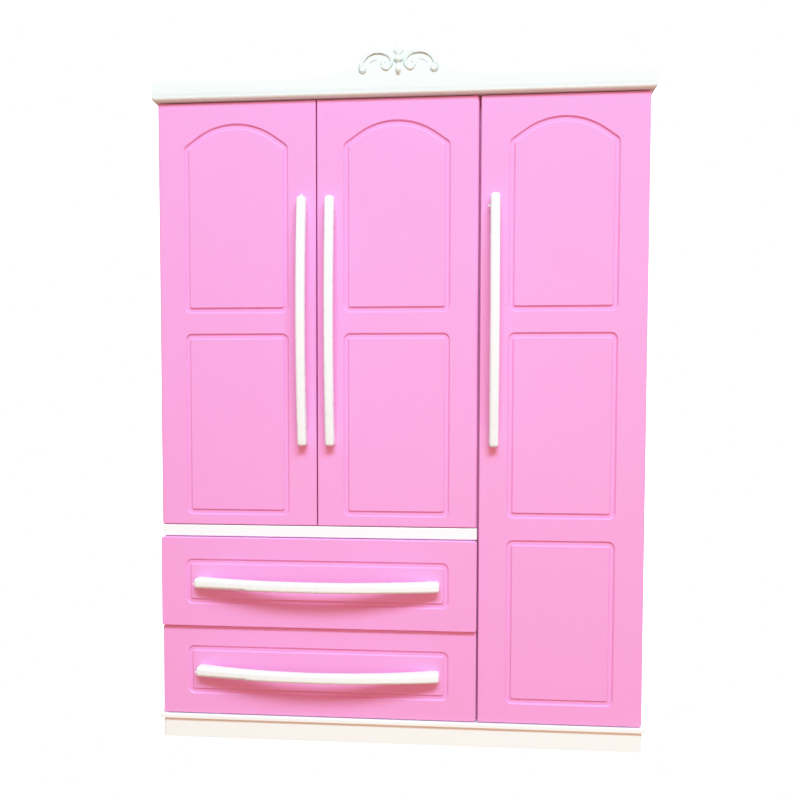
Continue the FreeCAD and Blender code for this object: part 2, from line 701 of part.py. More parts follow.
runner = [(runner_front, runner_back, runner_top - runner_thick, runner_top)]
shelf_ledge = [(ledge_front, ledge_back, shelf_z - ledge_thick, shelf_z)]
shoe_ledges = [(shoe_front + 0.5, ledge_back, z - ledge_thick, z) for z in (shoe_low, shoe_high)]

for label, s in (("side_panel_left", -1), ("side_panel_right", 1)):
    b = body(label)
    nodes.append(b)
    lo, hi = mirrored(s, panel_in, half_width)
    add(b, "YZ", lo, hi, side_rect)
    outer = s * half_width
    fillet(b, plinth_edge,
           lambda e: on(e, x=outer, y=case_front), lambda e: on(e, x=outer, y=case_back))
    lo, hi = mirrored(s, panel_in + tab_in, panel_in + tab_in + tab_thick)
    add(b, "YZ", lo, hi, side_tabs)
    if s < 0:
        ledges(b, s, panel_in, runner_wide, runner)
        ledges(b, s, panel_in, ledge_wide, shelf_ledge)
    else:
        ledges(b, s, panel_in, ledge_wide, shoe_ledges)
    rail_boss(b, s, panel_in)
    lo, hi = mirrored(s, panel_in - 0.1, panel_in + groove_deep)
    cut(b, "YZ", lo, hi,
        lambda k: rect(k, groove_front, groove_front + groove_wide, floor_top, case_top))

# --------------------------------------------------------------- partition
b = body("centre_partition")
nodes.append(b)
part_l = part_x - wall / 2
part_r = part_x + wall / 2
add(b, "YZ", part_l, part_r,
    lambda k: rect(k, case_front, groove_front - 0.1, floor_top, case_top))


def part_tabs(k):
    for c in (tab_d, tab_e):
        rect(k, c - tab_long / 2, c + tab_long / 2, case_top - 0.5, case_top + tab_top)
        rect(k, c - tab_long / 2, c + tab_long / 2, floor_top - tab_low, floor_top + 0.5)


add(b, "YZ", part_x - tab_thick / 2, part_x + tab_thick / 2, part_tabs)
add(b, "YZ", part_l - runner_wide, part_l + 0.2,
    lambda k: rect(k, runner_front, runner_back, runner_top - runner_thick, runner_top))
add(b, "YZ", part_l - ledge_wide, part_l + 0.2,
    lambda k: rect(k, ledge_front, ledge_back, shelf_z - ledge_thick, shelf_z))


def part_shoe(k):
    for z in (shoe_low, shoe_high):
        rect(k, shoe_front + 0.5, ledge_back, z - ledge_thick, z)


add(b, "YZ", part_r - 0.2, part_r + ledge_wide, part_shoe)
add(b, "YZ", part_l - boss_long, part_r + boss_long, lambda k: circle(k, rail_y, rail_z, boss_rad))
cut(b, "YZ", part_l - boss_long, part_l, lambda k: circle(k, rail_y, rail_z, rail_hole))
cut(b, "YZ", part_r, part_r + boss_long, lambda k: circle(k, rail_y, rail_z, rail_hole))

# --------------------------------------------------------------- back panel
b = body("back_panel")
nodes.append(b)
add(b, "XZ", groove_front + 0.1, groove_front + 0.1 + back_thick,
    lambda k: rect(k, -(panel_in + groove_deep - 0.1), panel_in + groove_deep - 0.1,
                   floor_top + 0.2, case_top - 0.2))

# ------------------------------------------------------------- middle shelf
b = body("middle_shelf")
nodes.append(b)
shelf_top = shelf_z + shelf_thick
add(b, "XY", lip_low, shelf_top,
    lambda k: rect(k, -half_width, lip_right, lip_front, lip_back))
fillet(b, lip_round, lambda e: on(e, y=lip_front))
add(b, "XY", shelf_z, shelf_top,
    lambda k: rect(k, -(panel_in - 0.1), part_l - 0.1, lip_back - 0.5, groove_front - 0.2))
add(b, "XY", shelf_top - 0.3, shelf_top + stop_tall,
    lambda k: rect(k, -60.0, -14.0, stop_front, stop_front + stop_thick))


def shelf_pins(k):
    circle(k, -hinge_left, pin_in, pin_hole)
    circle(k, hinge_mid, pin_in, pin_hole)


cut(b, "XY", shelf_top - pin_low, shelf_top, shelf_pins)

# ------------------------------------------------------------ hanging rails
for label, x0, x1 in (("hanging_rail_left", -(panel_in - 0.1), part_l - 0.1),
                      ("hanging_rail_right", part_r + 0.1, panel_in - 0.1)):
    b = body(label)
    nodes.append(b)
    add(b, "YZ", x0, x1, lambda k: circle(k, rail_y, rail_z, rail_rad))
    chamfer(b, rail_bevel, lambda e: e.BoundBox.XLength < 1e-3 and e.Length > 6.0)

# ------------------------------------------------------------- shoe shelves
for label, z in (("shoe_shelf_upper", shoe_high), ("shoe_shelf_lower", shoe_low)):
    b = body(label)
    nodes.append(b)
    add(b, "XY", z, z + shoe_thick,
        lambda k: rect(k, part_r + 0.1, panel_in - 0.1, shoe_front, groove_front - 0.2))
    add(b, "XY", z, z + shoe_lip,
        lambda k: rect(k, part_r + 0.1, panel_in - 0.1, shoe_front, shoe_front + 1.6))
    fillet(b, lip_round, lambda e: on(e, y=shoe_front) and along(e, 0))


# -------------------------------------------------------------------- doors
def arched(s, cx, t):
    """Arched panel outline, inset by t."""
    hw = panel_half - t
    low = arch_low + t
    r = arch_rad - t
    zc = arch_apex - arch_rad
    tx, tz = r * qsin(arch_slope), zc + r * qcos(arch_slope)
    sz = zc + (r - hw * qsin(arch_slope)) / qcos(arch_slope)
    outline(s, [(cx - hw, low), (cx + hw, low), (cx + hw, sz),
                (cx + tx, tz, r, 1), (cx - tx, tz), (cx - hw, sz)])


def squared(s, cx, z0, z1, t):
    rect(s, cx - (panel_half - t), cx + (panel_half - t), z0 + t, z1 - t)


def make_door(label, x0, x1, z0, hinge, pin_len, panels, grip_x):
    """Door with its hinge edge at x0 (hinge -1) or x1 (hinge 1)."""
    b = body(label)
    nodes.append(b)
    z1 = door_head
    cx = (x0 + x1) / 2 - panel_off
    add(b, "XZ", 0.0 * door_thick, door_thick, lambda k: rect(k, x0, x1, z0, z1))
    hx = x0 if hinge < 0 else x1
    fx = x1 if hinge < 0 else x0
    # hinge edge rounded on both sides so that it turns inside its own space
    fillet(b, hinge_round, lambda e: along(e, 2) and on(e, x=hx))
    fillet(b, edge_round,
           lambda e: on(e, y=0, x=fx),
           lambda e: along(e, 0) and on(e, y=0, z=z0),
           lambda e: along(e, 0) and on(e, y=0, z=z1))
    # panel lines: a groove with bevelled edges round each panel
    off = line_bevel

    def lines(k):
        for name, lo, hi in panels:
            if name == "arched":
                arched(k, cx, off)
                arched(k, cx, line_wide - off)
            else:
                squared(k, cx, lo, hi, off)
                squared(k, cx, lo, hi, line_wide - off)
    cut(b, "XZ", 0.0 * door_thick, line_deep, lines)
    inner_half = panel_half - line_wide + off
    outer_half = panel_half - off

    def corner(e, outside):
        bb = e.BoundBox
        if not (along(e, 1) and abs(bb.YMin) < 0.01 and abs(bb.YMax - num(line_deep)) < 0.01):
            return False
        # a corner of the outer outline is farther out, or nearer the panel's ends
        dx = abs(bb.XMin - num(cx))
        z = bb.ZMin
        if dx > num(outer_half) - 0.05:
            return outside
        if abs(dx - num(inner_half)) < 0.05:
            return not outside
        return False
    fillet(b, line_out, lambda e: corner(e, True))
    fillet(b, line_in, lambda e: corner(e, False))
    reach = num(outer_half) + 0.1
    chamfer(b, line_bevel,
            lambda e: on(e, y=0) and abs(e.CenterOfMass.x - num(cx)) < reach
            and num(z0) + 6 < e.CenterOfMass.z < num(z1) - 6
            and max(abs(e.BoundBox.XMin - num(cx)), abs(e.BoundBox.XMax - num(cx))) < reach)
    # hollow back
    bx0 = x0 + (hinge_rim if hinge < 0 else door_rim)
    bx1 = x1 - (hinge_rim if hinge > 0 else door_rim)
    cut(b, "XZ", door_skin, door_thick,
        lambda k: rect(k, bx0, bx1, z0 + door_rim, z1 - door_rim))
    # holes for the handle's studs
    def stud_holes(k):
        circle(k, grip_x, grip_z - stud_at, stud_hole)
        circle(k, grip_x, grip_z + stud_at, stud_hole)
    cut(b, "XZ", 0.0 * door_thick, door_skin, stud_holes)
    # hinge pins
    px = x0 + pin_in if hinge < 0 else x1 - pin_in
    add(b, "XY", z1 - 1.0, z1 + pin_top, lambda k: circle(k, px, pin_in, pin_rad))
    add(b, "XY", z0 - pin_len, z0 + 1.0, lambda k: circle(k, px, pin_in, pin_rad))
    return b


short = [("arched", None, None), ("squared", second_low, second_high)]
tall = short + [("squared", third_low, third_high)]
make_door("door_left", -door_left_out, -door_left_in, door_low, -1, pin_low - 0.1, short, -grip_left_x)
make_door("door_middle", -door_mid_in, door_mid_out, door_low, 1, pin_low - 0.1, short, -grip_mid_x)
make_door("door_right", door_right_in, door_right_out, door_foot, 1, pin_foot, tall, grip_right_x)


# ------------------------------------------------------------------ drawers
def make_front(label, z0, z1, pull_z, shift, line_low, line_top):
    b = body(label, shift)
    nodes.append(b)
    x0, x1 = -drawer_left, drawer_right
    add(b, "XZ", 0.0 * door_thick, door_thick, lambda k: rect(k, x0, x1, z0, z1))
    fillet(b, front_corner, lambda e: along(e, 1))
    fillet(b, edge_round, lambda e: on(e, y=0))
    off = line_bevel
    gx0, gx1 = x0 + front_line_left, x1 - front_line_right
    gz0, gz1 = z0 + line_low, z1 - line_top

    def lines(k):
        for t in (off, line_wide - off):
            rect(k, gx0 + t, gx1 - t, gz0 + t, gz1 - t)
    cut(b, "XZ", 0.0 * door_thick, line_deep, lines)

    def corner(e, outside):
        bb = e.BoundBox
        if not (along(e, 1) and abs(bb.YMin) < 0.01 and abs(bb.YMax - num(line_deep)) < 0.01):
            return False
        d = min(abs(bb.XMin - num(gx0 + off)), abs(bb.XMin - num(gx1 - off)))
        return (d < 0.05) == outside
    fillet(b, line_out, lambda e: corner(e, True))
    fillet(b, line_in, lambda e: corner(e, False))
    chamfer(b, line_bevel,
            lambda e: on(e, y=0, x=(gx0 + off, gx1 - off), z=(gz0 + off, gz1 - off)))
    # hollow back with two bosses for the handle's studs
    def back(k):
        rect(k, x0 + door_rim, x1 - door_rim, z0 + door_rim, z1 - door_rim)
        circle(k, -pull_x - stud_at, pull_z, head_rad + 1.2)
        circle(k, -pull_x + stud_at, pull_z, head_rad + 1.2)
    cut(b, "XZ", door_skin, door_thick, back)

    def holes(k):
        circle(k, -pull_x - stud_at, pull_z, stud_hole)
        circle(k, -pull_x + stud_at, pull_z, stud_hole)
    cut(b, "XZ", 0.0 * door_thick, door_thick, holes)


def make_tray(label, z0, z1, pull_z, shift):
    b = body(label, shift)
    nodes.append(b)
    x0, x1, y0, y1 = -tray_left, tray_right, tray_front, tray_back
    add(b, "XY", z0, z1, lambda k: rect(k, x0, x1, y0, y1))
    fillet(b, tray_corner, lambda e: along(e, 2) and on(e, y=y1))
    cut(b, "XY", z0 + tray_wall, z1,
        lambda k: rect(k, x0 + tray_wall, x1 - tray_wall, y0 + tray_wall, y1 - tray_wall))
    fillet(b, tray_inside, lambda e: along(e, 2) and on(e, x=(x0 + tray_wall, x1 - tray_wall),
                                                y=(y0 + tray_wall, y1 - tray_wall)))
    fillet(b, tray_floor, lambda e: on(e, z=z0 + tray_wall))

    def holes(k):
        circle(k, -pull_x - stud_at, pull_z, stud_hole)
        circle(k, -pull_x + stud_at, pull_z, stud_hole)
    cut(b, "XZ", y0, y0 + tray_wall, holes)


make_front("drawer_front_upper", upper_low, upper_high, pull_up_z, upper_gap,
           upper_line_low, upper_line_top)
make_tray("drawer_tray_upper", upper_tray_low, upper_tray_high, pull_up_z, upper_gap)
make_front("drawer_front_lower", lower_low, lower_high, pull_low_z, 0.0 * upper_gap,
           lower_line_low, lower_line_top)
make_tray("drawer_tray_lower", lower_tray_low, lower_tray_high, pull_low_z, 0.0 * upper_gap)


# ------------------------------------------------------------------ handles
def bow(half, end, mid, gap, foot, seat):
    """Side outline of a bow handle: (height above the face, place along it)."""
    rise = mid - end
    r_out = (half * half + rise * rise) / (2.0 * rise)
    g = gap - seat
    r_in = (foot * foot + g * g) / (2.0 * g)
    return r_out, r_in


def make_grip(label, x, gate=None):
    b = body(label)
    nodes.append(b)
    r_out, r_in = bow(grip_half, grip_end, grip_mid, grip_gap, grip_foot, grip_seat)

    def side(k):
        outline(k, [(-grip_seat, grip_z - grip_half), (-grip_seat, grip_z - grip_foot, r_in, -1),
                    (-grip_seat, grip_z + grip_foot), (-grip_seat, grip_z + grip_half),
                    (-grip_end, grip_z + grip_half, r_out, 1), (-grip_end, grip_z - grip_half)])
    add(b, "YZ", x - grip_wide / 2, x + grip_wide / 2, side)
    fillet(b, grip_round, lambda e: along(e, 0) and on(e, y=-grip_end))
    side_a, side_b = x - grip_wide / 2, x + grip_wide / 2
    fillet(b, grip_round,
           lambda e: (on(e, x=side_a) or on(e, x=side_b)) and e.BoundBox.YMin < 1.5 - num(grip_mid))
    fillet(b, grip_inner,
           lambda e: (on(e, x=side_a) or on(e, x=side_b)) and e.BoundBox.ZLength > 90
           and e.BoundBox.YMax > -0.1)

    def two(k, r):
        circle(k, x, grip_z - stud_at, r)
        circle(k, x, grip_z + stud_at, r)
    add(b, "XZ", -1.0 * grip_end / 4.0, door_skin + 0.05, lambda k: two(k, stud_rad))
    add(b, "XZ", door_skin + 0.05, door_skin + 0.05 + head_thick, lambda k: two(k, head_rad))
    top = grip_z + grip_half
    if gate == "top":
        nib(b, "XY", top - 0.4, top + nib_long, x, -nib_proud, lambda e: on(e, z=top + nib_long))
    elif gate == "side":
        nib(b, "YZ", side_a - nib_long, side_a + 0.4, -nib_proud, top - nib_down,
            lambda e: on(e, x=side_a - nib_long))


def make_pull(label, z, shift):
    b = body(label, shift)
    nodes.append(b)
    r_out, r_in = bow(pull_half, grip_end, pull_mid, pull_gap, pull_foot, grip_seat)
    c = -pull_x

    def side(k):
        outline(k, [(c - pull_half, -grip_end, r_out, 1), (c + pull_half, -grip_end),
                    (c + pull_half, -grip_seat), (c + pull_foot, -grip_seat, r_in, -1),
                    (c - pull_foot, -grip_seat), (c - pull_half, -grip_seat)])
    add(b, "XY", z - pull_wide / 2, z + pull_wide / 2, side)
    fillet(b, grip_round, lambda e: along(e, 2) and on(e, y=-grip_end))
    side_a, side_b = z - pull_wide / 2, z + pull_wide / 2
    fillet(b, grip_round,
           lambda e: (on(e, z=side_a) or on(e, z=side_b)) and e.BoundBox.YMin < 1.5 - num(pull_mid))
    fillet(b, grip_inner,
           lambda e: (on(e, z=side_a) or on(e, z=side_b)) and e.BoundBox.XLength > 90
           and e.BoundBox.YMax > -0.1)

    def two(k, r):
        circle(k, c - stud_at, z, r)
        circle(k, c + stud_at, z, r)
    tail = tray_front + tray_wall + 0.05
    add(b, "XZ", -1.0 * grip_end / 4.0, tail, lambda k: two(k, stud_rad))
    add(b, "XZ", tail, tail + head_thick, lambda k: two(k, head_rad))
    end = c - pull_half - nib_long
    nib(b, "YZ", end, c - pull_half + 0.4, -nib_proud, z - 0.6, lambda e: on(e, x=end))


make_grip("door_handle_left", -grip_left_x, "top")
make_grip("door_handle_middle", -grip_mid_x)
make_grip("door_handle_right", grip_right_x, "side")
make_pull("drawer_handle_upper", pull_up_z, upper_gap)
make_pull("drawer_handle_lower", pull_low_z, 0.0 * upper_gap)

# ------------------------------------------------------------------- checks
doc.recompute()
bad = []
for o in doc.Objects:
    if "Invalid" in o.State or "Error" in o.State:
        bad.append("%s: %s" % (o.Name, o.State))
for b in nodes:
    s = b.Shape
    if s.isNull() or not s.isValid():
        bad.append("%s: shape not valid" % b.Label)
    elif len(s.Solids) != 1:
        bad.append("%s: %d solids" % (b.Label, len(s.Solids)))
    elif s.Solids[0].Volume <= 0:
        bad.append("%s: no volume" % b.Label)
if len(set(b.Label for b in nodes)) != len(nodes):
    bad.append("two sub-parts share a name")
if bad:
    raise RuntimeError("; ".join(bad))

os.makedirs("parts", exist_ok=True)
for b in nodes:
    b.Shape.exportStep("parts/%s.step" % b.Label)
    bb = b.Shape.optimalBoundingBox(True, False)
    print("%-22s %9.1f mm3  x %.2f..%.2f  y %.2f..%.2f  z %.2f..%.2f"
          % (b.Label, b.Shape.Volume, bb.XMin, bb.XMax, bb.YMin, bb.YMax, bb.ZMin, bb.ZMax))
print(len(nodes), "sub-parts")
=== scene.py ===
import math

import bmesh
import bpy
from mathutils import Matrix, Vector, noise


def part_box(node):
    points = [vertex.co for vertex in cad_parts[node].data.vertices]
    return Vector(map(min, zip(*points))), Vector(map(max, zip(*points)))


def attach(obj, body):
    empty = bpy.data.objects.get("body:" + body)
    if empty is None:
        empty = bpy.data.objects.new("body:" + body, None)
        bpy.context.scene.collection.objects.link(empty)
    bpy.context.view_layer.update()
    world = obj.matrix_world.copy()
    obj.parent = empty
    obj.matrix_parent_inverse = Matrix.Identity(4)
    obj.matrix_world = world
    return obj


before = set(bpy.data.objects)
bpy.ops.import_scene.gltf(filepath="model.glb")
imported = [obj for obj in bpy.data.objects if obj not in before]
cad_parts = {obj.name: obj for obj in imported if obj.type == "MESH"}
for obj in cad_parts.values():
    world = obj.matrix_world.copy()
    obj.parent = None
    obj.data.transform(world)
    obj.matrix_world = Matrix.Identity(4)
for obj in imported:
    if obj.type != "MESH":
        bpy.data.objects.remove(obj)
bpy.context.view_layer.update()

MM = 0.001
# the cornice gives the crest its place: its front plate and its highest point
cap_low, cap_high = (tuple(c / MM for c in corner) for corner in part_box("cornice_cap"))
UP = cap_high[2] - 318.17
FASCIA = cap_low[1] + 0.7      # front of the cornice fascia and of the crest plate


# ------------------------------------------------------------------ colours
def lin(r, g, b):
    """sRGB 0..255 to the linear values that the shader takes."""
    out = []
    for v in (r, g, b):
        v = v / 255.0
        out.append(v / 12.92 if v <= 0.04045 else ((v + 0.055) / 1.055) ** 2.4)
    return (out[0], out[1], out[2], 1.0)


# ---------------------------------------------------------------- materials
class Nodes:
    """Short way to wire a material's nodes."""

    def __init__(self, name):
        self.mat = bpy.data.materials.new(name)
        self.mat.use_nodes = True
        self.t = self.mat.node_tree
        self.bsdf = self.t.nodes["Principled BSDF"]

    def new(self, kind, **props):
        n = self.t.nodes.new(kind)
        for k, v in props.items():
            setattr(n, k, v)
        return n

    def link(self, a, b):
        self.t.links.new(a, b)

    def math(self, op, a, b=None, clamp=False):
        n = self.new("ShaderNodeMath", operation=op, use_clamp=clamp)
        for i, v in enumerate((a, b)):
            if v is None:
                continue
            if isinstance(v, (int, float)):
                n.inputs[i].default_value = v
            else:
                self.link(v, n.inputs[i])
        return n.outputs[0]

    def mix(self, fac, a, b, blend="MIX"):
        n = self.new("ShaderNodeMix", data_type="RGBA", blend_type=blend)
        for sock, v in ((n.inputs["Factor"], fac), (n.inputs[6], a), (n.inputs[7], b)):
            if isinstance(v, (int, float)):
                sock.default_value = v
            elif isinstance(v, tuple):
                sock.default_value = v
            else:
                self.link(v, sock)
        return n.outputs[2]

    def ramp(self, fac, stops):
        n = self.new("ShaderNodeValToRGB")
        e = n.color_ramp.elements
        while len(e) < len(stops):
            e.new(0.5)
        for el, (p, c) in zip(e, stops):
            el.position = p
            el.color = c if isinstance(c, tuple) else (c, c, c, 1)
        self.link(fac, n.inputs[0])
        return n.outputs[0]

    def noise(self, vec, scale, detail=3.0, rough=0.5, distort=0.0):
        n = self.new("ShaderNodeTexNoise")
        n.inputs["Scale"].default_value = scale
        n.inputs["Detail"].default_value = detail
        n.inputs["Roughness"].default_value = rough
        n.inputs["Distortion"].default_value = distort
        self.link(vec, n.inputs["Vector"])
        return n.outputs[0]


def moulded(name, base, warm, deep, rough, coat, grain, sheen_tint=None):
    """Injection-moulded plastic: base colour with slow drift, a slightly
    deeper tone in small patches, a fine satin skin and faint flow waves."""
    m = Nodes(name)
    tex = m.new("ShaderNodeTexCoord")
    obj = tex.outputs["Object"]
    stretch = m.new("ShaderNodeMapping")
    stretch.inputs["Scale"].default_value = (1.0, 1.0, 0.35)
    m.link(obj, stretch.inputs["Vector"])
    slow = m.noise(stretch.outputs[0], 9.0, 2.0, 0.45, 0.6)
    patch = m.noise(obj, 55.0, 3.0, 0.55)
    col = m.mix(m.ramp(slow, [(0.32, 0.0), (0.70, 1.0)]), base, warm)
    col = m.mix(m.math("MULTIPLY", m.ramp(patch, [(0.40, 0.0), (0.75, 1.0)]), 0.10), col, deep)
    m.link(col, m.bsdf.inputs["Base Color"])
    # satin skin: roughness drifts, with fine grain and rare soft scuffs
    fine = m.noise(obj, 2600.0, 2.0, 0.6)
    mid = m.noise(obj, 240.0, 4.0, 0.6)
    scuff = m.noise(stretch.outputs[0], 130.0, 6.0, 0.72, 1.4)
    r = m.math("ADD", rough, m.math("MULTIPLY", m.math("SUBTRACT", mid, 0.5), 0.10))
    r = m.math("ADD", r, m.math("MULTIPLY", m.ramp(scuff, [(0.62, 0.0), (0.72, 1.0)]), 0.07))
    m.link(r, m.bsdf.inputs["Roughness"])
    waves = m.noise(stretch.outputs[0], 34.0, 2.0, 0.5, 0.3)
    h = m.math("ADD", m.math("MULTIPLY", fine, 0.010 * grain), m.math("MULTIPLY", waves, 0.35))
    h = m.math("ADD", h, m.math("MULTIPLY", mid, 0.035 * grain))
    bump = m.new("ShaderNodeBump")
    bump.inputs["Strength"].default_value = 0.30
    bump.inputs["Distance"].default_value = 0.00035
    m.link(h, bump.inputs["Height"])
    m.link(bump.outputs[0], m.bsdf.inputs["Normal"])
    b = m.bsdf.inputs
    b["IOR"].default_value = 1.49
    b["Specular IOR Level"].default_value = 0.5
    b["Coat Weight"].default_value = coat
    b["Coat Roughness"].default_value = 0.12
    b["Subsurface Weight"].default_value = 0.12
    b["Subsurface Radius"].default_value = (1.0, 0.55, 0.75) if sheen_tint is None else sheen_tint
    b["Subsurface Scale"].default_value = 0.0012
    return m.mat


PINK = moulded("pink_shell_plastic", (0.89, 0.370, 0.735, 1), (0.895, 0.366, 0.705, 1), (0.85, 0.335, 0.69, 1),
               0.33, 0.10, 0.8)
PINK_FRONT = moulded("pink_door_plastic", (0.90, 0.375, 0.75, 1), (0.905, 0.370, 0.72, 1), (0.86, 0.340, 0.70, 1),
                     0.30, 0.12, 0.8)
PINK_TRAY = moulded("pink_tray_plastic", (0.80, 0.275, 0.575, 1), (0.815, 0.28, 0.55, 1), (0.76, 0.25, 0.52, 1),
                    0.42, 0.05, 2.2)
WHITE = moulded("white_trim_plastic", (0.81, 0.935, 0.92, 1), (0.82, 0.93, 0.905, 1), (0.78, 0.885, 0.865, 1),
                0.32, 0.20, 0.7, (1.0, 0.9, 0.8))
WHITE_CREST = moulded("white_crest_plastic", (0.77, 0.925, 0.905, 1), (0.78, 0.92, 0.895, 1), (0.74, 0.88, 0.86, 1),
                      0.36, 0.10, 0.4, (1.0, 0.9, 0.8))
WHITE_BASE = moulded("white_base_plastic", (0.93, 0.98, 0.98, 1), (0.935, 0.975, 0.965, 1), (0.89, 0.93, 0.92, 1),
                     0.32, 0.20, 0.7, (1.0, 0.9, 0.8))
WHITE_GRIP = moulded("white_grip_plastic", (0.89, 0.965, 0.98, 1), (0.895, 0.96, 0.97, 1), (0.85, 0.92, 0.93, 1),
                     0.28, 0.25, 0.25, (1.0, 0.9, 0.8))

for m in (PINK, PINK_FRONT):
    m.node_tree.nodes["Principled BSDF"].inputs["Specular IOR Level"].default_value = 0.36
for m, weight, reach in ((WHITE, 0.40, 0.0022), (WHITE_CREST, 0.60, 0.0030), (WHITE_GRIP, 0.20, 0.0016)):
    skin = m.node_tree.nodes["Principled BSDF"].inputs
    skin["Subsurface Weight"].default_value = weight
    skin["Subsurface Scale"].default_value = reach

LOOK = {}
for n in ("side_panel_left", "side_panel_right", "centre_partition", "back_panel"):
    LOOK[n] = PINK
for n in ("door_left", "door_middle", "door_right", "drawer_front_upper", "drawer_front_lower"):
    LOOK[n] = PINK_FRONT
for n in ("drawer_tray_upper", "drawer_tray_lower"):
    LOOK[n] = PINK_TRAY
for n in ("base_plinth", "middle_shelf"):
    LOOK[n] = WHITE_BASE
for n in ("top_panel", "cornice_cap", "hanging_rail_left",
          "hanging_rail_right", "shoe_shelf_upper", "shoe_shelf_lower"):
    LOOK[n] = WHITE
for n in ("door_handle_left", "door_handle_middle", "door_handle_right", "drawer_handle_upper",
          "drawer_handle_lower"):
    LOOK[n] = WHITE_GRIP
for name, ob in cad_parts.items():
    ob.data.materials.clear()
    ob.data.materials.append(LOOK[name])


# ------------------------------------------------------------------- crest
def chain(points, steps=10):
    """Smooth curve through (x, z, r) points: a Catmull-Rom line, sampled."""
    out = []
    p = [points[0]] + list(points) + [points[-1]]
    for i in range(1, len(p) - 2):
        for k in range(steps):
            t = k / steps
            q = []
            for c in range(3):
                a, b, d, e = p[i - 1][c], p[i][c], p[i + 1][c], p[i + 2][c]
                q.append(0.5 * (2 * b + (d - a) * t + (2 * a - 5 * b + 4 * d - e) * t * t
                                + (3 * b - a - 3 * d + e) * t ** 3))
            out.append(tuple(q))
    out.append(points[-1])
    return out


def tube(bm, line, y, flat=1.0, sides=16):
    """Tapered bead along a line in the crest's plane; y is its middle in mm."""
    rings = []
    n = len(line)
    for i, (x, z, r) in enumerate(line):
        a, b = line[max(0, i - 1)], line[min(n - 1, i + 1)]
        d = Vector((b[0] - a[0], 0, b[1] - a[1])).normalized()
        side = Vector((d.z, 0, -d.x))
        ring = []
        for k in range(sides):
            w = 2 * math.pi * k / sides
            o = side * (r * math.cos(w)) + Vector((0, r * flat * math.sin(w), 0))
            ring.append(bm.verts.new(((x + o.x) * MM, (y + o.y) * MM, (z + o.z) * MM)))
        rings.append(ring)
    for a, b in zip(rings, rings[1:]):
        for k in range(sides):
            bm.faces.new((a[k], a[(k + 1) % sides], b[(k + 1) % sides], b[k]))
    for ring in (rings[0], rings[-1]):
        bm.faces.new(ring if ring is rings[-1] else list(reversed(ring)))
    for i in (0, n - 1):      # ball ends
        x, z, r = line[i]
        blob(bm, x, y, z, r, r * flat, r)


def blob(bm, x, y, z, rx, ry, rz, turn=0.0, lean=0.0):
    m = (Matrix.Translation((x * MM, y * MM, z * MM)) @ Matrix.Rotation(turn, 4, "Y")
         @ Matrix.Rotation(lean, 4, "X") @ Matrix.Diagonal((rx * MM, ry * MM, rz * MM, 1)))
    bmesh.ops.create_uvsphere(bm, u_segments=20, v_segments=12, radius=1.0, matrix=m)


def finished(name, bm, voxel, smooth, keep, body, mat):
    """Joins the overlapping forms into one skin, as the mould leaves them."""
    me = bpy.data.meshes.new(name)
    bm.to_mesh(me)
    bm.free()
    ob = bpy.data.objects.new(name, me)
    bpy.context.scene.collection.objects.link(ob)
    r = ob.modifiers.new("skin", "REMESH")
    r.mode = "VOXEL"
    r.voxel_size = voxel
    s = ob.modifiers.new("soften", "SMOOTH")
    s.factor = 0.5
    s.iterations = smooth
    if keep < 1.0:
        d = ob.modifiers.new("thin", "DECIMATE")
        d.ratio = keep
    dg = bpy.context.evaluated_depsgraph_get()
    done = bpy.data.meshes.new_from_object(ob.evaluated_get(dg), depsgraph=dg)
    ob.modifiers.clear()
    ob.data = done
    done.name = name
    done.materials.clear()
    done.materials.append(mat)
    for poly in done.polygons:
        poly.use_smooth = True
    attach(ob, body)
    return ob


def raised(points):
    return [(x, z + UP, r) for x, z, r in points]


def crest():
    bm = bmesh.new()
    y = FASCIA - 0.02
    for s in (-1, 1):
        # C-scroll: outer curl, over the arch, down beside the knob, inner curl
        scroll = chain(raised([
            (s * 15.1, 306.9, 0.80), (s * 14.9, 305.9, 0.95), (s * 15.8, 305.2, 1.05),
            (s * 16.9, 305.9, 1.05), (s * 17.0, 307.6, 1.05), (s * 16.35, 309.7, 1.08),
            (s * 14.9, 311.7, 1.12), (s * 12.7, 313.1, 1.15), (s * 10.0, 313.65, 1.15),
            (s * 7.2, 313.45, 1.15), (s * 4.9, 312.6, 1.10), (s * 3.45, 311.1, 1.0),
            (s * 2.9, 309.4, 0.95), (s * 3.35, 307.9, 0.95), (s * 4.9, 307.1, 1.0),
            (s * 6.5, 307.5, 1.0), (s * 7.2, 308.6, 0.9), (s * 6.4, 309.5, 0.8)]), 12)
        tube(bm, scroll, y, 0.54)
        # small leaf that fills the hollow of the arch, low relief
        leaf = chain(raised([(s * 8.0, 309.8, 0.35), (s * 10.2, 310.3, 0.55), (s * 12.4, 309.2, 0.5),
                      (s * 13.8, 307.6, 0.3)]), 8)
        tube(bm, leaf, y + 0.25, 0.7, 12)
    # finial: a standing leaf with two side lobes
    tube(bm, chain(raised([(0, 313.2, 1.5), (0, 315.0, 1.55), (0, 316.5, 1.1), (0, 317.45, 0.62)]), 8), y + 0.25, 0.8)
    for s in (-1, 1):
        tube(bm, chain(raised([(s * 0.8, 313.2, 0.9), (s * 1.7, 314.4, 0.8), (s * 2.3, 315.3, 0.42)]), 6), y + 0.2, 0.9)
    # knob, neck and pendant down the middle
    blob(bm, 0, y - 0.05, 310.5 + UP, 1.95, 1.15, 1.75)
    blob(bm, 0, y + 0.05, 312.6 + UP, 1.35, 0.95, 0.75)
    blob(bm, 0, y + 0.05, 308.2 + UP, 1.0, 0.8, 0.6)
    tube(bm, chain(raised([(0, 307.2, 0.9), (0, 306.2, 1.3), (0, 305.2, 1.25), (0, 304.5, 0.8)]), 8), y - 0.35, 1.0)
    return finished("crest_scrollwork", bm, 0.16 * MM, 12, 0.45, "cabinet", WHITE_CREST)


crest()

